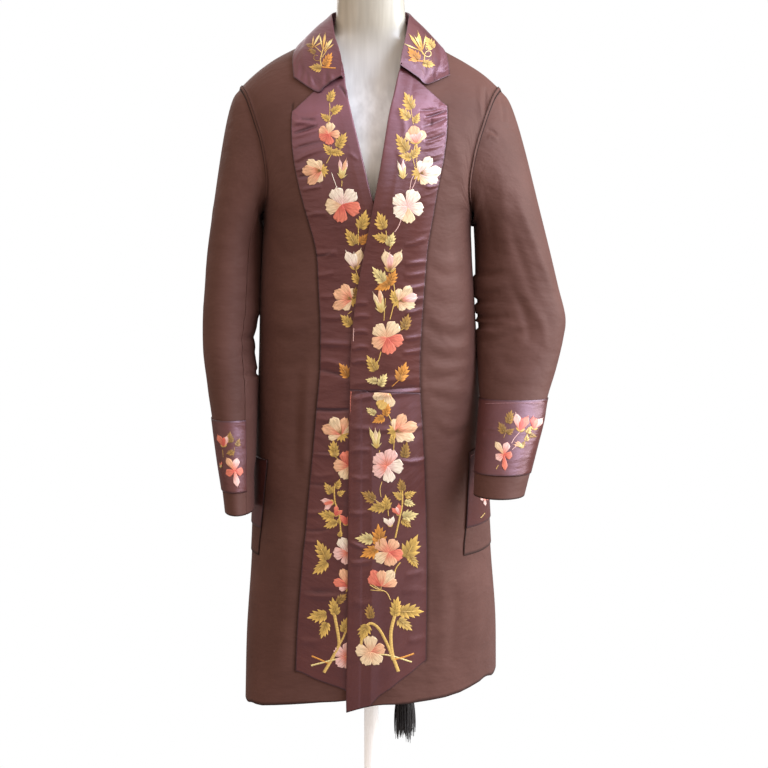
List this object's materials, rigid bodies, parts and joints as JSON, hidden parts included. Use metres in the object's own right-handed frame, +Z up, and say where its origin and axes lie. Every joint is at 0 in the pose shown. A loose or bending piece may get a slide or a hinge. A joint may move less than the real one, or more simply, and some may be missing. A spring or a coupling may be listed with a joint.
{
  "type": "smoking jacket on a dress form",
  "caption": "Long smoking jacket with satin lapels, front bands, cuffs and pocket tops, hanging open-sleeved on a plain limbless dress form with pole and round base.",
  "frame": {"origin": "on the floor, at the middle of the underside of the form's round base, which is also the pole's axis", "axes": "+Z up; the jacket faces -Y; +X is the wearer's left"},
  "size_m": [0.5345, 0.3774, 1.452],
  "materials": {
    "faille": "ribbed silk faille, dull",
    "satin": "plum satin, soft sheen, embroidered",
    "cord": "black silk cord",
    "form": "pale moulded plastic",
    "stand": "white paint"
  },
  "bodies": {
    "root": {"front_left": "faille", "front_right": "faille", "back_left": "faille", "back_right": "faille", "sleeve_top_left": "faille", "sleeve_top_right": "faille", "sleeve_under_left": "faille", "sleeve_under_right": "faille", "pocket_left": "faille", "pocket_right": "faille", "belt_loop": "faille", "collar": "satin", "lapel_left": "satin", "lapel_right": "satin", "band_left": "satin", "band_right": "satin", "cuff_left": "satin", "cuff_right": "satin", "pocket_satin_left": "satin", "pocket_satin_right": "satin", "belt_cord": "cord", "belt_knot": "cord", "belt_tassel": "cord", "form_torso": "form", "form_pole": "stand", "form_base": "stand"}
  },
  "joints": []
}
